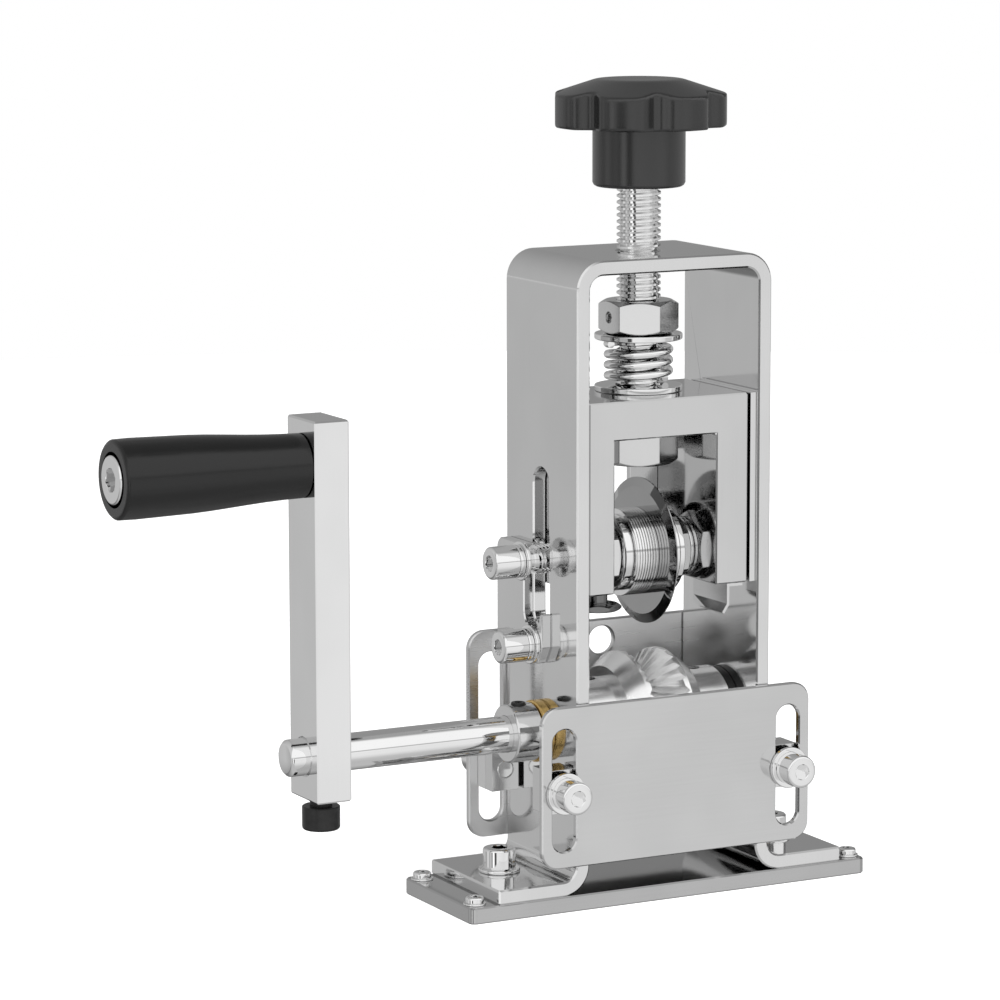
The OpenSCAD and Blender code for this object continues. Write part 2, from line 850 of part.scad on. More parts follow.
module wheel_set_screws() {
    color([0.15, 0.15, 0.15])
    for (x = [cut_x - wheel_set_x, cut_x + wheel_set_x])
        translate([x, 0, shaft_z]) set_screw(set_d, shaft_r + seat_fit, hub_d / 2 - set_sink);
}

module thrust_rings() {
    color([0.12, 0.12, 0.12])
    for (x = [-wall_x + slide_gap, hub_right + stack_gap]) translate([0, 0, shaft_z])
        along_x(x) ring(shaft_r + seat_fit, hub_d / 2 - edge, ring_w - slide_gap - stack_gap);
}

collar_x = -wall_x - strip_t - bush_flange_t - slide_gap;

module shaft_collar() {
    color([0.7, 0.7, 0.71])
    translate([0, 0, shaft_z])
    difference() {
        along_x(collar_x - collar_l) ring(shaft_r + seat_fit, collar_d / 2, collar_l, edge);
        translate([collar_x - collar_l / 2, 0, 0]) cylinder(d = set_d + 2 * seat_fit, h = collar_d);
    }
}

module collar_set_screw() {
    color([0.12, 0.12, 0.12])
    translate([collar_x - collar_l / 2, 0, shaft_z])
        set_screw(set_d, shaft_r + seat_fit, collar_d / 2 + set_sink);
}

// Crank arm, its clamp screw, and the grip on its bolt

module crank_arm() {
    color([0.75, 0.75, 0.76])
    difference() {
        translate([arm_out, -arm_w / 2, arm_bottom])
            cube([arm_t, arm_w, arm_low + crank_r + arm_high]);
        translate([0, 0, shaft_z]) along_x(arm_out - over)
            cylinder(d = shaft_d + 2 * seat_fit, h = arm_t + 2 * over);
        translate([0, 0, grip_z]) along_x(arm_out - over)
            cylinder(d = grip_bolt_d + 2 * seat_fit, h = arm_t + 2 * over);
        translate([arm_out + arm_t / 2, 0, arm_bottom - over])
            cylinder(d = clamp_d + 2 * seat_fit, h = arm_low + over);
    }
}

module arm_clamp_screw() {
    color([0.12, 0.12, 0.12])
    translate([arm_out + arm_t / 2, 0, arm_bottom - clamp_neck]) mirror([0, 0, 1])
        cap_screw(clamp_d, clamp_neck + arm_low - shaft_r - seat_fit, clamp_head_d, clamp_head_h,
            clamp_key);
}

module grip_bolt() {
    color([0.78, 0.78, 0.79])
    translate([grip_out + grip_bolt_head_h - grip_recess_out, 0, grip_z]) rotate([0, -90, 0])
        cap_screw(grip_bolt_d, grip_l - grip_bolt_head_h + grip_recess_out + grip_gap + arm_t,
            grip_bolt_head_d, grip_bolt_head_h, grip_bolt_key);
}

// Radius of the grip at a share of its length from the outer end
function grip_fall(share) = share < grip_full_share
    ? grip_fall_share * share / grip_full_share
    : let (u = (share - grip_full_share) / (1 - grip_full_share))
        grip_fall_share + (1 - grip_fall_share) * pow(sin(90 * u), grip_power);
function grip_r(share) = grip_d / 2 - (grip_d - grip_neck_d) / 2 * grip_fall(share);
grip_steps = 10;

module crank_grip() {
    color([0.1, 0.1, 0.1])
    translate([0, 0, grip_z]) along_x(grip_out)
    difference() {
        rotate_extrude() polygon(concat(
            [[0, 0], [grip_d / 2 - grip_round, 0]],
            [for (a = [30, 60]) [grip_d / 2 - grip_round + grip_round * sin(a),
                grip_round - grip_round * cos(a)]],
            [for (i = [1 : grip_steps]) [grip_r(i / grip_steps), i * grip_l / grip_steps]],
            [[0, grip_l]]));
        translate([0, 0, -over]) cylinder(d = grip_bolt_d + 2 * run_fit, h = grip_l + 2 * over);
        translate([0, 0, -over])
            cylinder(d = grip_recess_d, h = grip_bolt_head_h - grip_recess_out + over + slide_gap);
    }
}

// Knob and adjusting screw

function knob_r(a) = knob_d / 2
    - lobe_depth * pow((1 - cos(lobes * (a - lobe_turn))) / 2, valley_power);

module knob() {
    top = knob_low + knob_hub_h + knob_rim_h;
    color([0.1, 0.1, 0.1])
    difference() {
        union() {
            translate([0, 0, knob_low])
                rod(knob_hub_d / 2, knob_hub_h + edge, knob_edge);
            intersection() {
                translate([0, 0, knob_low + knob_hub_h]) linear_extrude(knob_rim_h + knob_dome_h)
                    polygon([for (i = [0 : lobes * lobe_points - 1])
                        let (a = i * 360 / (lobes * lobe_points)) knob_r(a) * [cos(a), sin(a)]]);
                rotate_extrude() polygon([
                    [0, knob_low + knob_hub_h], [knob_d / 2 - knob_edge, knob_low + knob_hub_h],
                    [knob_d / 2, knob_low + knob_hub_h + knob_edge], [knob_d / 2, top],
                    [knob_flat_d / 2, top + knob_dome_h], [0, top + knob_dome_h]]);
            }
        }
        translate([0, 0, knob_low - over])
            cylinder(r = screw_r + seat_fit, h = knob_sink + over);
    }
}

module adjusting_screw() {
    high = knob_low + knob_sink;
    threads = floor((high - screw_low - screw_pitch) / screw_pitch);
    start = screw_low + screw_pitch / 2;
    crest = screw_pitch * crest_share / 2;
    color([0.82, 0.82, 0.83])
    rotate_extrude() polygon(concat(
        [[0, screw_low], [screw_r - thread_depth, screw_low]],
        [for (i = [0 : threads - 1]) let (z = start + i * screw_pitch)
            each [[screw_r - thread_depth, z], [screw_r, z + screw_pitch / 2 - crest],
                [screw_r, z + screw_pitch / 2 + crest]]],
        [[screw_r - thread_depth, start + threads * screw_pitch],
            [screw_r - thread_depth, high], [0, high]]));
}

module screw_nut(z, h) {
    translate([0, 0, z]) rotate([0, 0, nut_turn + half_hex])
        hex_nut(nut_af, h, screw_d + 2 * seat_fit);
}

module lock_nut() {
    color([0.74, 0.74, 0.75])
    difference() {
        screw_nut(lock_nut_z, lock_nut_h);
        translate([0, 0, lock_nut_z + lock_nut_h / 2]) rotate([0, -90, nut_turn])
            cylinder(d = nut_set_d + 2 * seat_fit, h = nut_af);
    }
}

module lock_nut_set_screw() {
    color([0.12, 0.12, 0.12])
    translate([0, 0, lock_nut_z + lock_nut_h / 2]) rotate([0, -90, nut_turn])
        set_screw(nut_set_d, screw_r + seat_fit, nut_af / 2 - set_sink / 2);
}

module keeper_nut() {
    color([0.74, 0.74, 0.75])
    screw_nut(keeper_low, window_top - keeper_low);
}

module washer_at(z) {
    color([0.8, 0.8, 0.81])
    translate([0, 0, z]) ring(screw_r + hole_fit, washer_d / 2, washer_t, edge / 2);
}

module upper_washer() washer_at(spring_high);

module lower_washer() washer_at(car_top);

module pressure_spring() {
    color([0.8, 0.8, 0.81]) polyhedron(points = spring_points, faces = spring_faces);
}

// Carriage: a yoke that slides between the side walls

module carriage() {
    color([0.74, 0.74, 0.75])
    difference() {
        translate([leg_left, car_front, car_low])
            cube([leg_right - leg_left, car_d, car_top - car_low]);
        translate([window_left, car_front - over, car_low - over])
            cube([window_right - window_left, car_d + 2 * over, window_top - car_low + over]);
        translate([0, 0, window_top - over])
            cylinder(r = screw_r + run_fit + hole_fit, h = car_top_t + 2 * over);
        translate([0, 0, blade_z]) along_x(leg_left - over)
            cylinder(r = axle_r + seat_fit, h = leg_right - leg_left + 2 * over);
        leg_bolt_place() translate([0, 0, -over])
            cylinder(d = leg_bolt_d + 2 * seat_fit, h = leg_bolt_in + over);
        bracket_screw_places()
            cylinder(d = bracket_screw_d + 2 * seat_fit, h = bracket_t + bracket_screw_in + edge);
        rear_screw_places() along_y(car_rear - rear_screw_in)
            cylinder(d = rear_screw_d + 2 * seat_fit, h = rear_screw_in + over);
    }
}

module leg_bolt_place() translate([leg_bolt_x, leg_bolt_y, car_low]) children();

// Bolt with a flat hexagon head that hangs a little below the left leg
module leg_bolt() {
    color([0.3, 0.3, 0.31])
    leg_bolt_place() {
        translate([0, 0, -leg_bolt_drop - leg_bolt_h]) rotate([0, 0, half_hex])
            chamfered_hexagon(leg_bolt_af, leg_bolt_h);
        translate([0, 0, -leg_bolt_drop - edge])
            rod(leg_bolt_d / 2, leg_bolt_drop + leg_bolt_in + edge - slide_gap, edge / 2);
    }
}

// Bracket of bent sheet under the right leg that holds the wire down, and its screws
module bracket_screw_places() {
    for (y = [car_front + bracket_screw_end, -bracket_back - bracket_screw_end])
        translate([bracket_x + bracket_wall / 2 + bracket_t / 2, y, car_low - bracket_t])
            children();
}

module wire_bracket() {
    l = -bracket_back - car_front;
    lip = sqrt(bracket_lip_out * bracket_lip_out + bracket_lip_drop * bracket_lip_drop);
    in_x = bracket_t * bracket_lip_drop / lip - bracket_lip_out;
    in_z = -bracket_drop - bracket_lip_drop - bracket_t * bracket_lip_out / lip;
    color([0.7, 0.7, 0.71])
    difference() {
        translate([bracket_x, car_front, car_low]) {
            translate([0, 0, -bracket_t]) cube([bracket_wall, l, bracket_t]);
            intersection() {
                translate([0, l, 0]) rotate([90, 0, 0]) linear_extrude(l)
                    polygon([[0, 0], [bracket_t, 0],
                        [bracket_t, in_z + (bracket_t - in_x) * bracket_lip_drop / bracket_lip_out],
                        [in_x, in_z], [-bracket_lip_out, -bracket_drop - bracket_lip_drop],
                        [0, -bracket_drop]]);
                translate([0, 0, -lip - bracket_drop - bracket_t])
                    linear_extrude(lip + bracket_drop + bracket_t)
                    polygon([[bracket_t, 0], [-bracket_lip_out, 0], [-bracket_lip_out, l / 2],
                        [0, l], [bracket_t, l]]);
            }
        }
        bracket_screw_places() {
            translate([0, 0, -over])
                cylinder(d = bracket_screw_d + 2 * seat_fit, h = bracket_t + 2 * over);
            cylinder(d1 = bracket_head_d + 2 * seat_fit, d2 = bracket_screw_d + 2 * seat_fit,
                h = (bracket_head_d - bracket_screw_d) / 2);
            translate([0, 0, -over]) cylinder(d = bracket_head_d + 2 * seat_fit, h = over);
        }
    }
}

module bracket_screws() {
    color([0.78, 0.78, 0.79])
    bracket_screw_places() {
        cylinder(d1 = bracket_head_d, d2 = bracket_screw_d,
            h = (bracket_head_d - bracket_screw_d) / 2);
        cylinder(d = bracket_screw_d, h = bracket_t + bracket_screw_in);
    }
}

// Plate behind the right leg
module rear_screw_places() {
    for (z = [car_low + rear_screw_end, car_top - rear_screw_end])
        translate([(window_right + leg_right) / 2, 0, z]) children();
}

module rear_plate() {
    color([0.7, 0.7, 0.71])
    difference() {
        translate([rear_plate_x, car_rear, car_low])
            cube([leg_right - rear_plate_x, rear_plate_t, car_top - car_low]);
        rear_screw_places() along_y(car_rear - over)
            cylinder(d = rear_screw_d + 2 * seat_fit, h = rear_plate_t + 2 * over);
    }
}

module rear_plate_screws() {
    color([0.78, 0.78, 0.79])
    rear_screw_places() along_y(car_rear + rear_plate_t)
        cap_screw(rear_screw_d, rear_plate_t + rear_screw_in - slide_gap, rear_head_d, rear_head_h,
            rear_key);
}

// Blade on its fixed axle, between two stacks of spacer rings

blade_left = cut_x - blade_t / 2;
blade_right = cut_x + blade_t / 2;
// As many spacer rings as fit between the blade and the nuts
shims = floor((blade_left - window_left - slot_washer_t - left_nut_least - axle_ring_t)
    / (shim_t + stack_gap));
wide_shims = floor((window_right - blade_right - right_nut_t - right_washer_least)
    / (wide_shim_t + stack_gap));
shims_l = shims * (shim_t + stack_gap);
wide_shims_l = wide_shims * (wide_shim_t + stack_gap);
axle_end = -frame_x - axle_out;

module on_axle(x) translate([0, 0, blade_z]) along_x(x) children();

module blade_axle() {
    thread_l = leg_left - axle_end;
    pitch = screw_pitch * axle_d / screw_d;
    deep = thread_depth * axle_d / screw_d;
    threads = floor((thread_l - pitch) / pitch);
    crest = pitch * crest_share / 2;
    color([0.78, 0.78, 0.79])
    on_axle(axle_end) difference() {
        rotate_extrude() polygon(concat(
            [[0, 0], [axle_r - deep, 0]],
            [for (i = [0 : threads - 1]) let (z = (i + 1 / 4) * pitch)
                each [[axle_r - deep, z], [axle_r, z + pitch / 2 - crest],
                    [axle_r, z + pitch / 2 + crest]]],
            [[axle_r - deep, (threads + 1 / 4) * pitch], [axle_r - deep, thread_l],
                [axle_r, thread_l], [axle_r, leg_right - axle_end], [0, leg_right - axle_end]]));
        translate([0, 0, -over])
            cylinder(d = cap_d + 2 * seat_fit, h = end_screw_in + edge + over);
    }
}

left_nut_x = window_left + slot_washer_t;
ring_x = blade_left - shims_l - axle_ring_t - stack_gap;
right_nut_x = blade_right + wide_shims_l + 2 * stack_gap;

// Two hexagon nuts that clamp the spacers, each with a washer at its leg
module axle_nuts() {
    color([0.7, 0.7, 0.71]) {
        on_axle(left_nut_x + stack_gap)
            hex_nut(axle_nut_af, ring_x - left_nut_x - 2 * stack_gap, axle_d + 2 * seat_fit);
        on_axle(right_nut_x) hex_nut(axle_nut_af, right_nut_t, axle_d + 2 * seat_fit);
        on_axle(window_left)
            ring(axle_r + seat_fit, axle_washer_d / 2, slot_washer_t - stack_gap, edge / 2);
        on_axle(right_nut_x + right_nut_t + stack_gap)
            ring(axle_r + seat_fit, axle_washer_d / 2,
                window_right - right_nut_x - right_nut_t - 2 * stack_gap, edge / 2);
    }
}

module axle_ring() {
    color([0.75, 0.75, 0.76])
    on_axle(ring_x) ring(axle_r + seat_fit, axle_ring_d / 2, axle_ring_t, edge);
}

module left_spacers() {
    color([0.78, 0.78, 0.79])
    for (i = [1 : shims]) on_axle(blade_left - i * (shim_t + stack_gap))
        ring(axle_r + seat_fit, shim_d / 2, shim_t, edge / 4);
}

module right_spacers() {
    color([0.78, 0.78, 0.79])
    for (i = [0 : wide_shims - 1])
        on_axle(blade_right + stack_gap + i * (wide_shim_t + stack_gap))
            ring(axle_r + seat_fit, shim_d / 2, wide_shim_t, edge / 4);
}

module cutting_blade() {
    color([0.6, 0.6, 0.61])
    on_axle(cut_x) rotate_extrude() polygon([
        [axle_r + run_fit, -blade_t / 2], [blade_d / 2 - blade_bevel, -blade_t / 2],
        [blade_d / 2, -blade_land / 2], [blade_d / 2, blade_land / 2],
        [blade_d / 2 - blade_bevel, blade_t / 2], [axle_r + run_fit, blade_t / 2]]);
}

// Children stand at the axle's left end, with +Z to the left
module axle_end_place() translate([axle_end, 0, blade_z]) rotate([0, -90, 0]) children();

module axle_end_screw() {
    color([0.8, 0.8, 0.81])
    axle_end_place() {
        translate([0, 0, end_screw_gap + slot_stack])
            cap_screw(cap_d, end_screw_gap + slot_stack + end_screw_in, cap_head_d, slot_head_h,
                cap_key);
        ring(cap_d / 2 - seat_fit, end_screw_d / 2, end_screw_gap);
    }
}

module axle_end_washers() {
    color([0.8, 0.8, 0.81])
    axle_end_place() translate([0, 0, end_screw_gap]) washer_pair();
}

base_plate();
base_screws();
base_washers();
main_frame();
foot_screws();
foot_washers();
left_bush();
right_bush();
front_left_block();
front_right_block();
back_left_block();
back_right_block();
block_spacers();
block_screws();
front_guide_plate();
back_guide_plate();
front_plate_screws();
front_plate_washers();
back_plate_screws();
back_plate_washers();
slot_side_plate();
slot_plate_screw();
slot_plate_washers();
gib_strip();
gib_screws();
drive_shaft();
left_feed_wheel();
right_feed_wheel();
wheel_set_screws();
thrust_rings();
shaft_collar();
collar_set_screw();
end_ring();
crank_arm();
arm_clamp_screw();
grip_bolt();
crank_grip();
knob();
adjusting_screw();
lock_nut();
lock_nut_set_screw();
keeper_nut();
upper_washer();
lower_washer();
pressure_spring();
carriage();
wire_bracket();
bracket_screws();
rear_plate();
rear_plate_screws();
leg_bolt();
blade_axle();
axle_nuts();
axle_ring();
left_spacers();
right_spacers();
cutting_blade();
axle_end_screw();
axle_end_washers();
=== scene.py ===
"""Looks of a hand crank wire stripper: polished steel frame, chromed screws and shaft,
toothed feed wheels, a round blade, and a black knob and grip, in a white studio.

Blender's lengths are metres, so tables and outlines in millimetres are multiplied by MM.
"""

import json
import math

import bpy
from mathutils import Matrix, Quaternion, Vector


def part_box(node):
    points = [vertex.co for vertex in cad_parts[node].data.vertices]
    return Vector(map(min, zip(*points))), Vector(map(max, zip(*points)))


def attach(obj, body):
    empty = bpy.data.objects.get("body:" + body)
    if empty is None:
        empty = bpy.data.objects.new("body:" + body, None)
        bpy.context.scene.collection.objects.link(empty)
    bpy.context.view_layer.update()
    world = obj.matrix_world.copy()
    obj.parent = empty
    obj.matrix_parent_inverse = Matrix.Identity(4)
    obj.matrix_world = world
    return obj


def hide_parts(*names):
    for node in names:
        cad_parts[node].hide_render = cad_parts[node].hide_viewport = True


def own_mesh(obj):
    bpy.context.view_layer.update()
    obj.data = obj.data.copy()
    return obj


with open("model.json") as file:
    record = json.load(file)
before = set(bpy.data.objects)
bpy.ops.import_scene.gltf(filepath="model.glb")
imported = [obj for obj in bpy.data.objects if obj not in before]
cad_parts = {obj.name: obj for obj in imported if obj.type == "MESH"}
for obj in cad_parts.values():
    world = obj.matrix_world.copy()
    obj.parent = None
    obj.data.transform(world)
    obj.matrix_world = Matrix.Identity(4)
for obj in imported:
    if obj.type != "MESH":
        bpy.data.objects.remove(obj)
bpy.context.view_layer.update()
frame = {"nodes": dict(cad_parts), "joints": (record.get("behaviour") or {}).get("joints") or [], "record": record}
nodes = frame["nodes"]
slot_of = {part["node"]: part["material_slot"] for part in frame["record"]["subparts"]}
body_of = {node: body for body, group in frame["record"]["behaviour"]["bodies"].items()
           for node in group}
scene = bpy.context.scene

MM = 0.001
TURN = 2 * math.pi


# Camera: a long lens from the front left, a little above the tool

def make_camera():
    forward = Vector((0.4587, 0.8747, -0.1568))
    roll = Quaternion((0, 0, 1), math.radians(-0.111))
    camera = bpy.data.objects.new("camera", bpy.data.cameras.new("camera"))
    scene.collection.objects.link(camera)
    camera.data.lens = 157.0
    camera.data.sensor_width = 36.0
    camera.data.clip_start = 0.05
    camera.data.clip_end = 20.0
    camera.location = (-0.5803, -1.0254, 0.2945)
    camera.rotation_mode = "QUATERNION"
    camera.rotation_quaternion = forward.to_track_quat("-Z", "Y") @ roll
    scene.camera = camera


# Shader maths: expressions on values become Math nodes

class Value:
    """A node's output that adds a Math node for each operator used on it."""

    def __init__(self, shader, socket):
        self.shader = shader
        self.socket = socket

    def maths(self, operation, *terms):
        return self.shader.node("ShaderNodeMath", dict(enumerate(terms)), operation=operation)

    def __add__(self, other):
        return self.maths("ADD", self, other)

    def __rsub__(self, other):
        return self.maths("SUBTRACT", other, self)

    def __mul__(self, other):
        return self.maths("MULTIPLY", self, other)

    __radd__ = __add__
    __rmul__ = __mul__

    def spread(self, low, high, to_low=0.0, to_high=1.0, shape="SMOOTHSTEP"):
        """The value taken from low..high to to_low..to_high, and held at its ends."""
        links = {"Value": self, "From Min": low, "From Max": high, "To Min": to_low,
                 "To Max": to_high}
        return self.shader.node("ShaderNodeMapRange", links, interpolation_type=shape)

    def ramp(self, stops):
        """Levels at given values: stops are (value, level), from the lowest value up."""
        low, high = stops[0][0], stops[-1][0]
        share = self.spread(low, high, shape="LINEAR")
        peak = max(level for value, level in stops)
        levels = [((value - low) / (high - low), level / peak) for value, level in stops]
        return peak * self.shader.node("ShaderNodeValToRGB", {0: share}, stops=levels)


class Shader:
    """A node tree, cleared, to which the method node adds."""

    def __init__(self, tree):
        self.tree = tree
        tree.nodes.clear()

    def node(self, kind, links=None, out=0, stops=None, **settings):
        """Adds a node: links are values or outputs by input, settings its own properties."""
        made = self.tree.nodes.new(kind)
        for name, setting in settings.items():
            setattr(made, name, setting)
        if stops:
            ramp = made.color_ramp.elements
            ramp[0].position, ramp[1].position = 0.0, 1.0
            ramp[0].color, ramp[1].color = (grey(stops[end][1]) for end in (0, -1))
            for place, level in stops[1:-1]:
                ramp.new(place).color = grey(level)
        for name, given in (links or {}).items():
            if isinstance(given, Value):
                self.tree.links.new(given.socket, made.inputs[name])
            else:
                made.inputs[name].default_value = given
        return Value(self, made.outputs[out])

    def mix(self, factor, first, second):
        links = {0: factor, 6: first, 7: second}
        return self.node("ShaderNodeMix", links, out=2, data_type="RGBA")

    def place(self, scale=(1.0, 1.0, 1.0), centre=(0.0, 0.0, 0.0)):
        """Object coordinates in metres, from a centre, stretched by a scale."""
        here = self.node("ShaderNodeTexCoord", out="Object")
        moved = self.node("ShaderNodeVectorMath", {0: here, 1: tuple(-c for c in centre)},
                          operation="ADD")
        return self.node("ShaderNodeMapping", {"Vector": moved, "Scale": scale})

    def noise(self, where, scale, detail=2.0, rough=0.5):
        links = {"Vector": where, "Scale": scale, "Detail": detail, "Roughness": rough}
        return self.node("ShaderNodeTexNoise", links)

    def axes(self, where):
        """The X, Y and Z of a vector as three values."""
        split = self.tree.nodes.new("ShaderNodeSeparateXYZ")
        self.tree.links.new(where.socket, split.inputs[0])
        return [Value(self, out) for out in split.outputs]

    def bump(self, height, strength, distance):
        return self.node("ShaderNodeBump", {"Height": height, "Strength": strength,
                                            "Distance": distance})

    def surface(self, **links):
        """Ends a material in a Principled shader with these inputs, underscores for spaces."""
        named = {name.replace("_", " "): given for name, given in links.items()}
        shader = self.node("ShaderNodeBsdfPrincipled", named)
        self.node_output("ShaderNodeOutputMaterial", shader)

    def node_output(self, kind, shader):
        made = self.tree.nodes.new(kind)
        self.tree.links.new(shader.socket, made.inputs["Surface"])


def new_material(name):
    material = bpy.data.materials.new(name)
    material.use_nodes = True
    return material, Shader(material.node_tree)


def grey(level):
    return (level, level, level, 1.0)


# Finishes

def polished_steel(name, grain, level, rough=0.045):
    """Mirror-polished sheet: faint drawn lines along one way and soft cloudy wiping marks."""
    material, s = new_material(name)
    lines = s.noise(s.place(grain), scale=1.0, detail=3.0, rough=0.6)
    clouds = s.noise(s.place(), scale=38.0)
    streaks = 0.3 * lines.spread(0.3, 0.7) + 0.7 * clouds.spread(0.35, 0.65)
    colour = s.mix(streaks, grey(level - 0.02), grey(level + 0.015))
    roughness = rough + 0.05 * lines + 0.04 * clouds
    normal = s.bump(lines, 0.12, 0.02 * MM)
    s.surface(Base_Color=colour, Metallic=1.0, Roughness=roughness, Normal=normal)
    return material


def chrome(name, level=0.86, rough=0.035):
    """Bright plating with a few faint handling marks."""
    material, s = new_material(name)
    marks = s.noise(s.place(), scale=420.0, detail=3.0, rough=0.6)
    clouds = s.noise(s.place(), scale=90.0, detail=1.0)
    colour = s.mix(clouds, grey(level - 0.03), grey(level + 0.02))
    roughness = rough + 0.06 * marks.spread(0.45, 0.75)
    s.surface(Base_Color=colour, Metallic=1.0, Roughness=roughness,
              Normal=s.bump(marks, 0.05, 0.02 * MM))
    return material


def turned_steel(name, centre, level, rough, metal, rings=5200.0):
    """Satin steel with the fine rings that a lathe leaves about an axis along X."""
    material, s = new_material(name)
    x, y, z = s.axes(s.place(centre=centre))
    across = s.node("ShaderNodeCombineXYZ", {1: y, 2: z})
    radius = s.node("ShaderNodeVectorMath", {0: across}, out="Value", operation="LENGTH")
    where = s.node("ShaderNodeCombineXYZ", {0: x * rings, 1: radius * rings})
    lines = s.noise(where, scale=1.0)
    clouds = s.noise(s.place(), scale=120.0)
    colour = s.mix(clouds, grey(level - 0.02), grey(level + 0.02))
    roughness = rough + 0.04 * lines + 0.03 * clouds
    s.surface(Base_Color=colour, Metallic=metal, Roughness=roughness,
              Normal=s.bump(lines, 0.06, 0.01 * MM))
    return material


def bearing_bronze(name):
    """Cast bronze, browner in places and brighter where it was machined."""
    material, s = new_material(name)
    clouds = s.noise(s.place(), scale=260.0, detail=3.0, rough=0.6)
    brown, bright = (0.62, 0.40, 0.13, 1.0), (0.86, 0.62, 0.26, 1.0)
    colour = s.mix(clouds, brown, bright)
    s.surface(Base_Color=colour, Metallic=1.0, Roughness=0.18 + 0.14 * clouds,
              Normal=s.bump(clouds, 0.2, 0.03 * MM))
    return material


def moulded_plastic(name, level=0.004, rough=0.17, gloss=0.85):
    """Black moulded plastic: a fine spark texture and slightly uneven gloss."""
    material, s = new_material(name)
    spark = s.noise(s.place(), scale=2600.0, rough=0.6)
    clouds = s.noise(s.place(), scale=60.0)
    colour = s.mix(clouds, grey(level * 0.8), grey(level * 1.25))
    s.surface(Base_Color=colour, Roughness=rough + 0.08 * spark + 0.06 * clouds,
              Specular_IOR_Level=gloss, Normal=s.bump(spark, 0.12, 0.05 * MM))
    return material


def black_oxide(name):
    """Blackened steel of the set screws and rings, a little blotchy."""
    material, s = new_material(name)
    clouds = s.noise(s.place(), scale=500.0, detail=3.0, rough=0.6)
    colour = s.mix(clouds, grey(0.016), grey(0.04))
    s.surface(Base_Color=colour, Metallic=0.6, Roughness=0.28 + 0.16 * clouds,
              Normal=s.bump(clouds, 0.1, 0.03 * MM))
    return material


SHAFT_AXIS = (0.0, 0.0, 46.3 * MM)
AXLE_HEIGHT = 93.6 * MM
ALONG_X = (0, math.pi / 2, 0)
GRAIN_X = (24.0, 2400.0, 2400.0)
GRAIN_Y = (1900.0, 40.0, 1900.0)
GRAIN_Z = (2600.0, 2600.0, 30.0)
EVEN_GRAIN = (700.0, 700.0, 700.0)
SHEET_GRAIN = (30.0, 30.0, 30.0)

# By the node's material slot
finishes = {
    "polished_steel": polished_steel("polished_upright", GRAIN_Z, 0.73),
    "brushed_steel": polished_steel("ground_steel", GRAIN_Y, 0.72, 0.06),
    "chromed_steel": chrome("chrome"),
    "spring_steel": chrome("spring_chrome", 0.9, 0.03),
    "wheel_steel": turned_steel("wheel_steel", SHAFT_AXIS, 0.92, 0.17, 0.85),
    "blade_steel": chrome("blade_mirror", 0.42, 0.05),
    "bronze": bearing_bronze("bearing_bronze"),
    "black_plastic": moulded_plastic("moulded_plastic"),
    "black_steel": black_oxide("black_oxide"),
}

# By node: other levels and roughness for some parts; the crank arm's lighter level is painted light
nut_steel = polished_steel("nut_steel", EVEN_GRAIN, 0.76, 0.13)
own_finishes = {
    "front_guide_plate": polished_steel("plate_steel", GRAIN_X, 0.62),
    "back_guide_plate": polished_steel("back_plate_steel", GRAIN_X, 0.72, 0.24),
    "base_plate": polished_steel("base_steel", GRAIN_X, 0.5),
    # The upright's polished steel made lighter for the arm: the extra brightness is painted light that the arm
    # catches
    "crank_arm": polished_steel("arm_steel_painted_light", GRAIN_Z, 0.83),
    "carriage": polished_steel("carriage_steel", GRAIN_Z, 0.645),
    "crank_grip": moulded_plastic("grip_plastic", 0.003, 0.15, 0.5),
    "leg_bolt": chrome("dark_bolt", 0.2, 0.12),
    "wire_bracket": polished_steel("bracket_steel", SHEET_GRAIN, 0.72, 0.2),
    "keeper_nut": polished_steel("keeper_steel", EVEN_GRAIN, 0.685, 0.13),
    "lock_nut": nut_steel,
    "lock_nut_set_screw": nut_steel,
    "axle_nuts": nut_steel,
}


# Bench work: small steps that every modelled piece uses

WELD_GAP = 0.002 * MM
PLAIN_ANGLE, ROUND_ANGLE = 32.0, 40.0
modelled = set()


def take(*objects):
    """Selects these objects alone, the first one active."""
    bpy.ops.object.select_all(action="DESELECT")
    for obj in objects:
        obj.select_set(True)
    bpy.context.view_layer.objects.active = objects[0]


def modify(obj, kind, **settings):
    """Adds a modifier with these settings and applies it."""
    modifier = obj.modifiers.new(kind.lower(), kind)
    for name, setting in settings.items():
        setattr(modifier, name, setting)
    take(obj)
    bpy.ops.object.modifier_apply(modifier=modifier.name)


def smooth(obj, angle=PLAIN_ANGLE):
    """Smooth shading that breaks at edges sharper than an angle in degrees."""
    take(obj)
    bpy.ops.object.shade_smooth_by_angle(angle=math.radians(angle))
    modify(obj, "WEIGHTED_NORMAL", keep_sharp=True, weight=90)


def settle(obj, name, node):
    """Names a finished piece, gives it its finish and lets it ride where its node does."""
    modelled.add(node)
    take(obj)
    bpy.ops.object.transform_apply(location=True, rotation=True, scale=True)
    obj.name = name
    obj.data.name = name
    obj.data.materials.clear()
    obj.data.materials.append(own_finishes.get(node) or finishes[slot_of[node]])
    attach(obj, body_of[node])
    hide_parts(node)
    return obj


# Pieces that keep their CAD form: welded, with their sharp edges broken as on the bench.
# Widths are in millimetres. The wheels' teeth stay sharp, as milled.

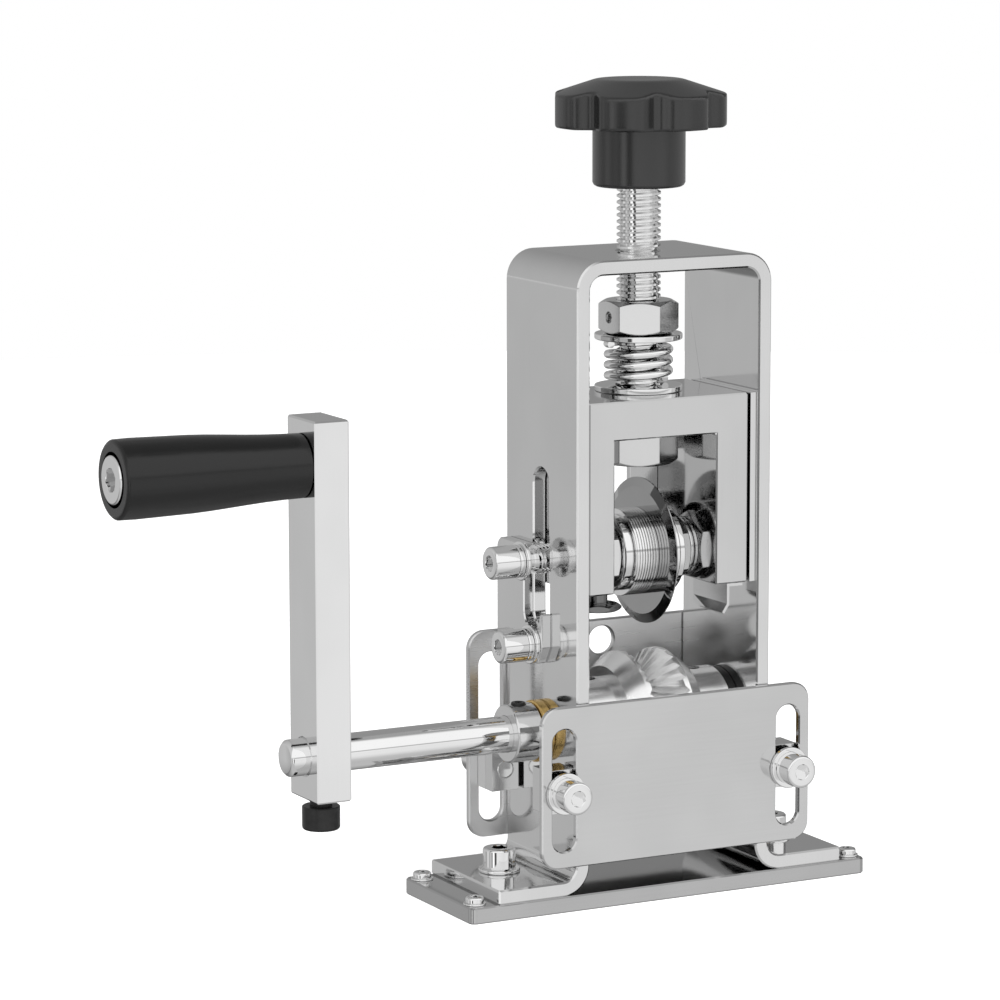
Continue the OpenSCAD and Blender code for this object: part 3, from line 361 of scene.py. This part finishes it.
edge_widths = {
    "main_frame": 0.45, "base_plate": 0.4, "crank_arm": 0.45, "carriage": 0.4,
    "front_guide_plate": 0.35, "back_guide_plate": 0.35, "slot_side_plate": 0.35,
    "wire_bracket": 0.12, "rear_plate": 0.25, "gib_strip": 0.2, "lock_nut": 0.25,
    "keeper_nut": 0.25, "axle_nuts": 0.2, "left_spacers": 0.06, "right_spacers": 0.1,
}
PLAIN_EDGE = 0.14
FLAT_CHAMFER_OVER = 0.3
SHARP_EDGE = math.radians(28.0)
FLAT_WITHIN = math.radians(0.4)
sharp_as_milled = {"left_feed_wheel", "right_feed_wheel"}
MILLED_ANGLE = 9.0


def bench_copy(node):
    """A copy of a node's CAD mesh, welded, with its flat faces whole again."""
    piece = bpy.data.objects.new(node + "_form", nodes[node].data.copy())
    scene.collection.objects.link(piece)
    take(piece)
    bpy.ops.mesh.customdata_custom_splitnormals_clear()
    bpy.ops.object.mode_set(mode="EDIT")
    bpy.ops.mesh.select_all(action="SELECT")
    bpy.ops.mesh.remove_doubles(threshold=WELD_GAP)
    bpy.ops.mesh.dissolve_limited(angle_limit=FLAT_WITHIN)
    bpy.ops.object.mode_set(mode="OBJECT")
    return piece


def break_edges(node):
    """Wide edges get a flat chamfer, narrow ones a small round."""
    piece = bench_copy(node)
    width = edge_widths.get(node, PLAIN_EDGE)
    if node in sharp_as_milled:
        smooth(piece, MILLED_ANGLE)
    else:
        modify(piece, "BEVEL", width=width * MM, segments=1 if width > FLAT_CHAMFER_OVER else 2,
               limit_method="ANGLE", angle_limit=SHARP_EDGE, use_clamp_overlap=False)
        smooth(piece)
    return settle(piece, node + "_piece", node)


# Turned and threaded pieces

def chain(points):
    """A string of edges through points (x, y, z), in edit mode."""
    bpy.ops.mesh.primitive_plane_add(size=MM, location=(0, 0, 0))
    bpy.ops.object.mode_set(mode="EDIT")
    bpy.ops.mesh.select_mode(type="VERT")
    bpy.ops.mesh.select_all(action="SELECT")
    bpy.ops.mesh.merge(type="CENTER")
    before = Vector((0, 0, 0))
    for number, point in enumerate(points):
        here = Vector(point)
        step = {"value": here - before}
        if number:
            bpy.ops.mesh.extrude_vertices_move(TRANSFORM_OT_translate=step)
        else:
            bpy.ops.transform.translate(**step)
        before = here
    return bpy.context.active_object


def weld():
    """Merges what touches, turns the faces outward and leaves edit mode."""
    bpy.ops.mesh.select_all(action="SELECT")
    bpy.ops.mesh.remove_doubles(threshold=WELD_GAP)
    bpy.ops.mesh.delete_loose()
    bpy.ops.mesh.select_all(action="SELECT")
    bpy.ops.mesh.normals_make_consistent(inside=False)
    bpy.ops.object.mode_set(mode="OBJECT")


def close_ends():
    """Welds a swept outline and closes the holes at its two ends, each from its middle."""
    bpy.ops.object.mode_set(mode="EDIT")
    bpy.ops.mesh.select_all(action="SELECT")
    bpy.ops.mesh.remove_doubles(threshold=WELD_GAP)
    bpy.ops.mesh.select_all(action="DESELECT")
    bpy.ops.mesh.select_mode(type="EDGE")
    bpy.ops.mesh.select_non_manifold()
    bpy.ops.mesh.extrude_edges_move()
    bpy.ops.mesh.merge(type="COLLAPSE")
    weld()


def turn(points, steps=96):
    """A solid of revolution about Z: points are (radius, height) in millimetres."""
    obj = chain([(radius * MM, 0, height * MM) for radius, height in points])
    bpy.ops.mesh.select_all(action="SELECT")
    bpy.ops.mesh.spin(steps=steps, angle=TURN, center=(0, 0, 0), axis=(0, 0, 1))
    weld()
    return obj


def thread(radius, depth, pitch, low, high, steps=64):
    """A helical thread about Z from low upward in whole turns, with both ends closed."""
    more_turns = round((high - low) / pitch) - 1
    crest, valley = 0.16 * pitch, 0.05 * pitch
    root = radius - depth
    obj = chain([(root, 0, low), (root, 0, low + valley), (radius, 0, low + pitch / 2 - crest),
                 (radius, 0, low + pitch / 2 + crest), (root, 0, low + pitch - valley),
                 (root, 0, low + pitch)])
    bpy.ops.object.mode_set(mode="OBJECT")
    modify(obj, "SCREW", angle=TURN, screw_offset=pitch, iterations=more_turns, steps=steps,
           render_steps=steps, use_merge_vertices=False)
    close_ends()
    return obj


def make_adjusting_screw():
    """An M12 screw, threaded from end to end."""
    low, high = (corner.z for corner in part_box("adjusting_screw"))
    obj = thread(6.0 * MM, 0.95 * MM, 1.75 * MM, low, high)
    smooth(obj, ROUND_ANGLE)
    return settle(obj, "adjusting_screw_thread", "adjusting_screw")


def add_rod(radius, low, high):
    bpy.ops.object.select_all(action="DESELECT")
    bpy.ops.mesh.primitive_cylinder_add(vertices=48, radius=radius, depth=high - low,
                                        location=(0, 0, (low + high) / 2))
    return bpy.context.active_object


def make_blade_axle():
    """A rod, plain between the carriage's legs, whose left end outside them is threaded."""
    left, right = (corner.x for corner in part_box("blade_axle"))
    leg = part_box("carriage")[0].x
    rod_r, core_r = 4.0 * MM, 3.3 * MM
    obj = thread(rod_r, 0.633 * MM, 1.1667 * MM, 0.0, leg - left)
    core = add_rod(core_r, 0.0, right - left)
    rod = add_rod(rod_r, leg - left, right - left)
    take(obj, core, rod)
    bpy.ops.object.join()
    obj.rotation_euler = ALONG_X
    obj.location = (left, 0, AXLE_HEIGHT)
    smooth(obj, ROUND_ANGLE)
    return settle(obj, "blade_axle_thread", "blade_axle")


def make_knob():
    """Seven lobes under a low dome with rounded rims, on a round hub bored for the screw."""
    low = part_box("knob")[0].z / MM
    lobes, points, first_lobe = 7, 7 * 20, math.radians(228.5)
    lobe_r, lobe_depth, underside = 23.7, 3.6, 15
    bore_r, neck_r, hub_r = 6.1, 11.6, 12.6
    outline = []
    for number in range(points):
        turned = TURN * number / points
        valley = ((1 - math.cos(lobes * (turned - first_lobe))) / 2) ** 3
        radius = (lobe_r - lobe_depth * valley) * MM
        outline.append((radius * math.cos(turned), radius * math.sin(turned),
                        (low + underside) * MM))
    lobed = chain(outline)
    bpy.ops.mesh.select_all(action="SELECT")
    bpy.ops.mesh.edge_face_add()
    bpy.ops.mesh.extrude_region_move(TRANSFORM_OT_translate={"value": (0, 0, 15 * MM)})
    weld()
    dome = turn([(0, low + 16), (22.9, low + 16), (24, low + 16.7), (24, low + 24.9),
                 (12.6, low + 28.64), (11.6, low + 28.9), (10.6, low + 29), (0, low + 29)],
                steps=120)
    modify(lobed, "BOOLEAN", operation="INTERSECT", object=dome, solver="EXACT")
    bpy.data.objects.remove(dome)
    modify(lobed, "REMESH", mode="VOXEL", voxel_size=0.42 * MM)
    modify(lobed, "SMOOTH", factor=0.5, iterations=9)
    hub = turn([(bore_r, low), (neck_r, low), (12.2, low + 0.35), (hub_r, low + 1.1),
                (hub_r, low + 16.4), (0, low + 16.4), (0, low + 14), (bore_r, low + 14),
                (bore_r, low)])
    take(lobed, hub)
    bpy.ops.object.join()
    smooth(lobed, ROUND_ANGLE)
    return settle(lobed, "knob_lobed", "knob")


def make_blade():
    """Round blade: mirror-flat sides, and a ground bevel that stays a crisp ring."""
    bore, flat, rim, half, land = 4.05, 17.5, 20.1, 1, 0.15
    obj = turn([(bore, -half), (flat, -half), (rim, -land), (rim, land), (flat, half),
                (bore, half), (bore, -half)], steps=180)
    middle = sum(corner.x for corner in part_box("cutting_blade")) / 2
    obj.rotation_euler = ALONG_X
    obj.location = (middle, 0, AXLE_HEIGHT)
    smooth(obj, 8.0)
    return settle(obj, "cutting_blade_disc", "cutting_blade")


# Rotations that turn a screw's head from up to each way
FACING = {"up": (0, 0, 0), "down": (math.pi, 0, 0), "front": (math.pi / 2, 0, 0),
          "back": (-math.pi / 2, 0, 0), "left": (0, -math.pi / 2, 0)}


def socket_screw(head_d, head_h, key, stem_d, reach, rim, collar=()):
    """A cap screw about Z with its seat at 0: rounded head, chamfered hexagon socket.

    The key is measured across flats, the reach from the seat down to the stem's end, and a
    collar is given as more (radius, height) points of the stem.
    """
    head, stem, flats = head_d / 2, stem_d / 2, key / 2
    corners = flats / math.cos(math.pi / 6)
    stem_cut, seat_cut, mouth_floor = 0.3, 0.25, head_h - 0.3
    rounded = [(head - across * rim, head_h - down * rim)
               for across, down in ((0, 1), (0.13, 0.5), (0.5, 0.13), (1, 0))]
    screw = turn([(0, -reach), (stem - stem_cut, -reach), (stem, stem_cut - reach), *collar,
                  (stem, 0), (head - seat_cut, 0), (head, seat_cut), *rounded,
                  (flats + 0.2, head_h), (flats - 0.1, mouth_floor), (0, mouth_floor)], steps=64)
    turned = (0, 0, math.pi / 12)
    bpy.ops.object.select_all(action="DESELECT")
    bpy.ops.mesh.primitive_cylinder_add(vertices=6, radius=corners * MM, depth=head_h * MM,
                                        location=(0, 0, head_h * MM), rotation=turned)
    cutter = bpy.context.active_object
    modify(screw, "BOOLEAN", operation="DIFFERENCE", object=cutter, solver="EXACT")
    bpy.data.objects.remove(cutter)
    return screw


def make_screws(node, facing, seats, **sizes):
    """One screw is made, then copied to each seat (x, y, z), all in millimetres."""
    first = socket_screw(**sizes)
    placed = []
    for seat in seats:
        one = first if not placed else bpy.data.objects.new(node + "_next", first.data.copy())
        if placed:
            scene.collection.objects.link(one)
        one.rotation_euler = FACING[facing]
        one.location = [length * MM for length in seat]
        placed.append(one)
    take(*placed)
    if len(placed) > 1:
        bpy.ops.object.join()
    smooth(placed[0])
    return settle(placed[0], node + "_set", node)


def make_drive_shaft():
    """A round bar with rounded ends and a groove for its retaining ring."""
    low, high = (corner.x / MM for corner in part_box("drive_shaft"))
    ring_low, ring_high = (corner.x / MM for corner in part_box("end_ring"))
    bar, groove = 5, 4.4
    obj = turn([(0, low), (3.9, low), (4.2, low + 0.1), (4.9, low + 0.8), (bar, low + 1.1),
                (bar, ring_low), (groove, ring_low), (groove, ring_high), (bar, ring_high),
                (bar, high - 1), (bar - 1, high), (0, high)], steps=128)
    obj.rotation_euler = ALONG_X
    obj.location = SHAFT_AXIS
    smooth(obj, 50.0)
    return settle(obj, "drive_shaft_rod", "drive_shaft")


def make_spring():
    """Round wire wound up in three and a half turns."""
    low, high = (corner.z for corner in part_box("pressure_spring"))
    wire_r, outer_r, half_turns = 1.05 * MM, 9.5 * MM, 7
    rise = high - low - 2 * wire_r
    bpy.ops.mesh.primitive_circle_add(vertices=20, radius=wire_r, fill_type="NGON",
                                      rotation=(math.pi / 2, 0, 0),
                                      location=(outer_r - wire_r, 0, low + wire_r))
    obj = bpy.context.active_object
    bpy.ops.object.transform_apply(location=True, rotation=True, scale=True)
    bpy.ops.object.mode_set(mode="EDIT")
    bpy.ops.mesh.select_all(action="SELECT")
    bpy.ops.mesh.delete(type="ONLY_FACE")
    bpy.ops.object.mode_set(mode="OBJECT")
    steps = 36
    modify(obj, "SCREW", angle=math.pi, screw_offset=rise / half_turns, iterations=half_turns,
           steps=steps, render_steps=steps)
    close_ends()
    smooth(obj, ROUND_ANGLE)
    settle(obj, "pressure_spring_coil", "pressure_spring")
    travel = next(j for j in frame["joints"] if j["name"] == "carriage_float")["range_m"][1]
    1 - travel / (high - low)
    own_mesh(obj)


# Studio: white all round for the camera, with soft bands that polished metal mirrors.
# Each band table holds (degrees, level): AROUND by azimuth from +X, the others from the
# front horizon over the top or underneath to the back.

DEGREES = 360 / TURN
AROUND = ((-180, 0.6), (-173, 0.6), (-171, 0.2), (-166, 0.2), (-162, 1.25), (-152, 1.25),
          (-149, 0.08), (-138, 0.08), (-134, 0.95), (-112, 0.92), (-86, 0.85), (-62, 0.9),
          (-48, 0.8), (-42, 0.6), (0, 0.6), (30, 0.5), (62, 0.46), (90, 0.5), (117.7, 0.57),
          (140, 0.42), (146, 0.35), (150, 0.75), (163, 0.75), (168, 0.4), (180, 0.6))
OVERHEAD = ((0, 0.95), (4, 0.95), (7, 0.5), (10, 0.5), (13, 1.05), (90, 1.05))
UNDER = ((0, 0.9), (12, 0.9), (30, 0.79), (42, 0.61), (58, 0.54), (92, 0.55), (112, 0.41),
         (142, 0.18), (165, 0.25), (180, 0.45))

# Degrees between which the canopy's front passes into its back, the sides into the canopy,
# and the ground into the sides
TOP_FADE, HORIZON_FADE, GROUND_FADE = (64.0, 82.0), (-4.0, 4.0), (-26.0, -12.0)


def make_world():
    """Bands round the tool, a canopy above it, and a dimmer ground below."""
    world = bpy.data.worlds.new("studio")
    scene.world = world
    world.use_nodes = True
    s = Shader(world.node_tree)
    x, y, z = s.axes(s.node("ShaderNodeTexCoord", out="Generated"))
    height = z.maths("ARCSINE", z) * DEGREES
    sides = (y.maths("ARCTAN2", y, x) * DEGREES).ramp(AROUND)
    over = z.maths("ARCTAN2", z, y * -1.0) * DEGREES
    canopy_back = 0.42 - 0.25 * x
    canopy = s.mix(over.spread(*TOP_FADE), over.ramp(OVERHEAD), canopy_back)
    under = (z.maths("ARCTAN2", z * -1.0, y * -1.0) * DEGREES).ramp(UNDER)
    tone = s.mix(height.spread(*HORIZON_FADE), sides, canopy)
    tone = s.mix(height.spread(*GROUND_FADE, to_low=1.0, to_high=0.0), tone, under)
    seen = s.node("ShaderNodeLightPath", out="Is Camera Ray")
    level = s.mix(seen, tone, grey(1.0))
    s.node_output("ShaderNodeOutputWorld", s.node("ShaderNodeBackground", {"Color": level}))


def add_softbox(name, place, size, power):
    """A round lamp aimed at the tool's middle, which the metal doesn't mirror."""
    lamp = bpy.data.lights.new(name, "AREA")
    lamp.shape = "DISK"
    lamp.size = size
    lamp.energy = power
    obj = bpy.data.objects.new(name, lamp)
    scene.collection.objects.link(obj)
    obj.location = place
    obj.rotation_mode = "QUATERNION"
    middle = Vector((0, 0, 0.09))
    obj.rotation_quaternion = (middle - Vector(place)).to_track_quat("-Z", "Y")
    obj.visible_glossy = False


def make_floor():
    """A white disc that keeps the object's shadow and lights it from below."""
    bpy.ops.object.select_all(action="DESELECT")
    bpy.ops.mesh.primitive_circle_add(vertices=96, radius=1.2, fill_type="NGON")
    floor = bpy.context.active_object
    floor.name = "floor"
    material, s = new_material("floor_white")
    seen = s.node("ShaderNodeLightPath", out="Is Camera Ray")
    glow = s.mix(seen, grey(0.0), grey(0.62))
    s.surface(Base_Color=grey(0.85), Roughness=0.9, Emission_Color=glow, Emission_Strength=1.0)
    floor.data.materials.append(material)
    floor.visible_glossy = False


make_camera()
make_world()
make_floor()
add_softbox("key", (-0.9, -0.9, 1.3), 0.9, 14.0)
add_softbox("fill", (1.2, -0.6, 0.8), 0.9, 6.0)
scene.view_settings.view_transform = "Standard"

make_adjusting_screw()
make_blade_axle()
make_knob()
make_spring()
make_drive_shaft()
make_blade()
for facing, side in (("front", -23.85), ("back", 23.85)):
    make_screws(facing + "_plate_screws", facing, [(x, side, 33.6) for x in (-34.9, 34.9)],
                head_d=9, head_h=6.3, key=4, stem_d=5, reach=12.1, rim=0.8)
make_screws("foot_screws", "up", [(x, 0, 9.5) for x in (-43.02, 43.02)],
            head_d=9, head_h=5.6, key=4, stem_d=5, reach=9.1, rim=0.7)
make_screws("slot_plate_screw", "left", [(-35.88, 0, 70.4)],
            head_d=9, head_h=7.4, key=4, stem_d=5, reach=9.88, rim=0.8)
make_screws("axle_end_screw", "left", [(-38.48, 0, 93.6)],
            head_d=9, head_h=7.4, key=4, stem_d=5, reach=11.28, rim=0.8,
            collar=((2.5, -5.28), (2.8, -5.28), (2.8, -2.88), (2.5, -2.88)))
make_screws("grip_bolt", "left", [(-148.4, 0, 124.3)],
            head_d=13, head_h=7, key=6, stem_d=8, reach=56.9, rim=0.6)
make_screws("arm_clamp_screw", "down", [(-96.5, 0, 32.6)],
            head_d=10.2, head_h=6.4, key=5, stem_d=6, reach=8.68, rim=0.8)
make_screws("base_screws", "up", [(x, y, 5) for x in (-58.7, 58.7) for y in (-15.65, 15.65)],
            head_d=5, head_h=1.7, key=2, stem_d=3, reach=4.6, rim=0.6)
for node in sorted(set(nodes) - modelled):
    break_edges(node)
